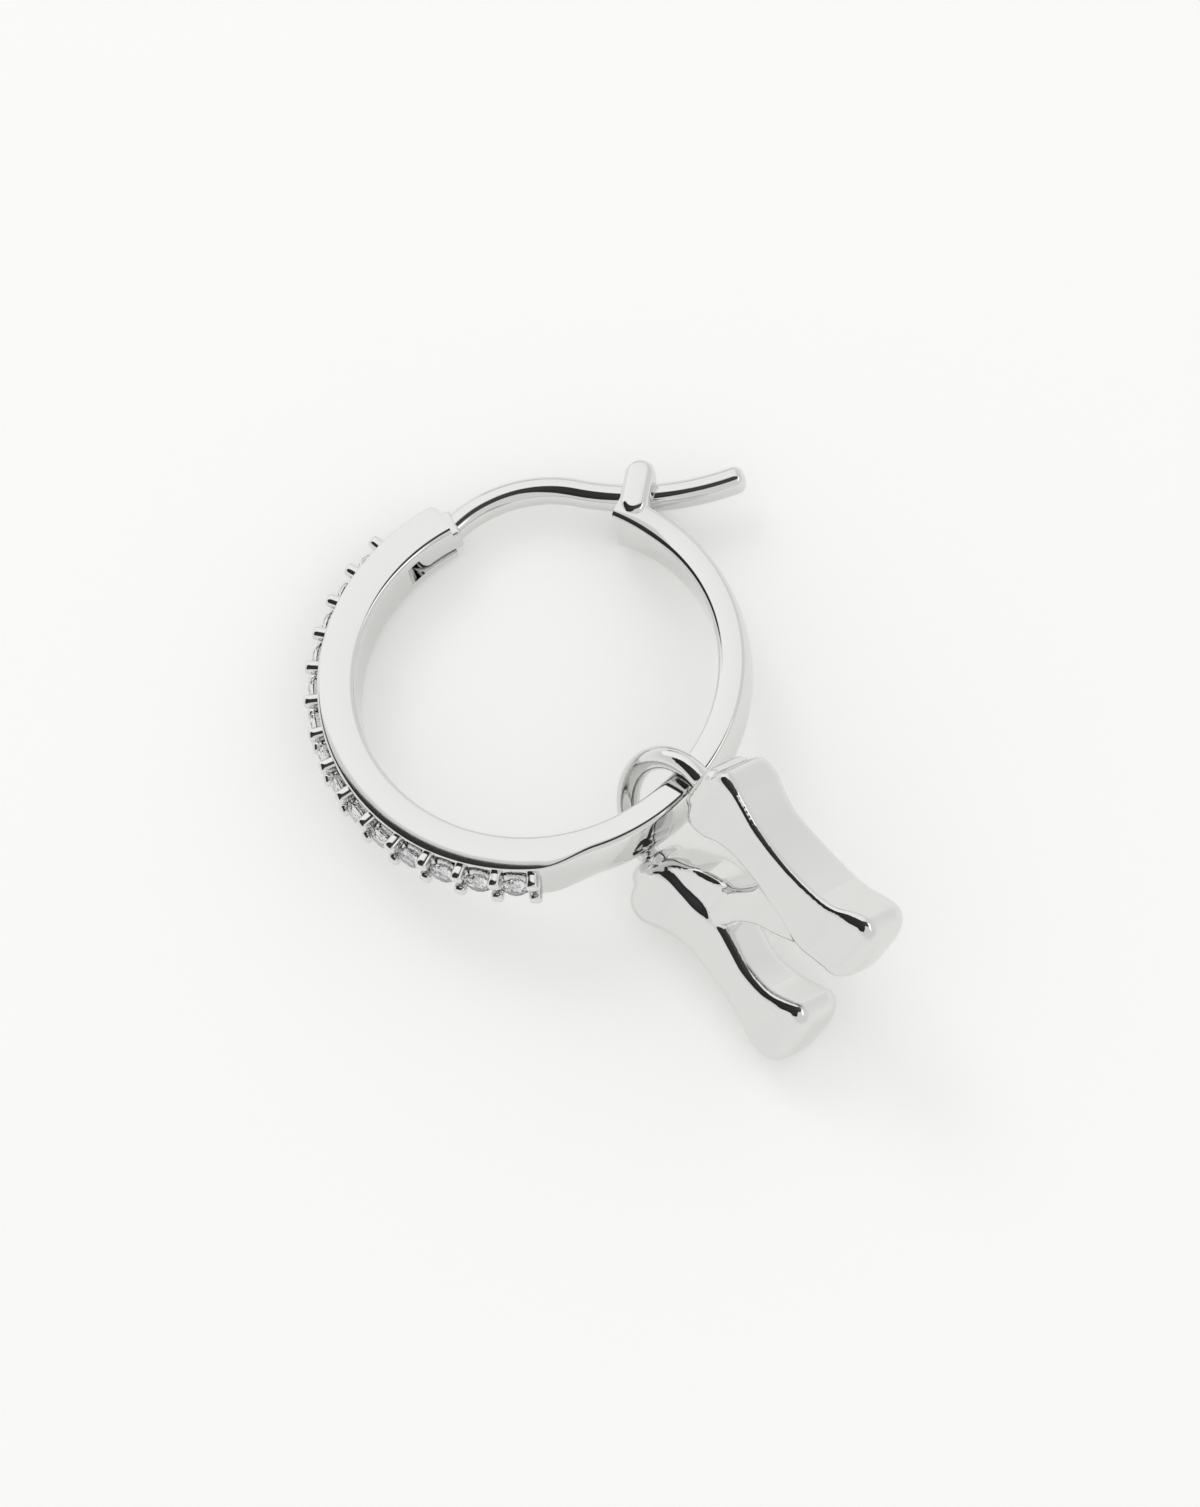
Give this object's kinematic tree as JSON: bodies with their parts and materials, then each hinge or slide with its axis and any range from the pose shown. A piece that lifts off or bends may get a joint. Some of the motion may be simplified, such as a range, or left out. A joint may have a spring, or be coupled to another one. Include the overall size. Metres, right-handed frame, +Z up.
{
  "type": "hoop charm earring",
  "caption": "Small silver-coloured hoop earring with a row of round clear stones, a hinged ear post that shuts into a fork catch, and a sculpted letter charm on an arched bail.",
  "frame": {"origin": "middle of the footprint, on the surface that the earring lies on", "axes": "+Z up from the surface; the hoop lies nearly flat, with the charm towards -Y and the hinged post towards +Y"},
  "size_m": [0.019, 0.0234, 0.0075],
  "materials": {
    "silver": "polished white metal",
    "stone": "clear, faceted"
  },
  "bodies": {
    "hoop_body": {"hoop": "silver", "hinge_pin": "silver", "charm": "silver", "stone_01": "stone", "stone_02": "stone", "stone_03": "stone", "stone_04": "stone", "stone_05": "stone", "stone_06": "stone", "stone_07": "stone", "stone_08": "stone", "stone_09": "stone", "stone_10": "stone", "stone_11": "stone", "stone_12": "stone", "stone_13": "stone", "stone_14": "stone"},
    "post": {"ear_post": "silver"}
  },
  "joints": [
    {"name": "post_hinge", "type": "hinge", "parent": "hoop_body", "child": "post", "pos_m": [-0.00364, 0.01007, 0.00111], "axis": [-0.0387, 0.156, 0.987], "range_deg": [0, 75]}
  ]
}
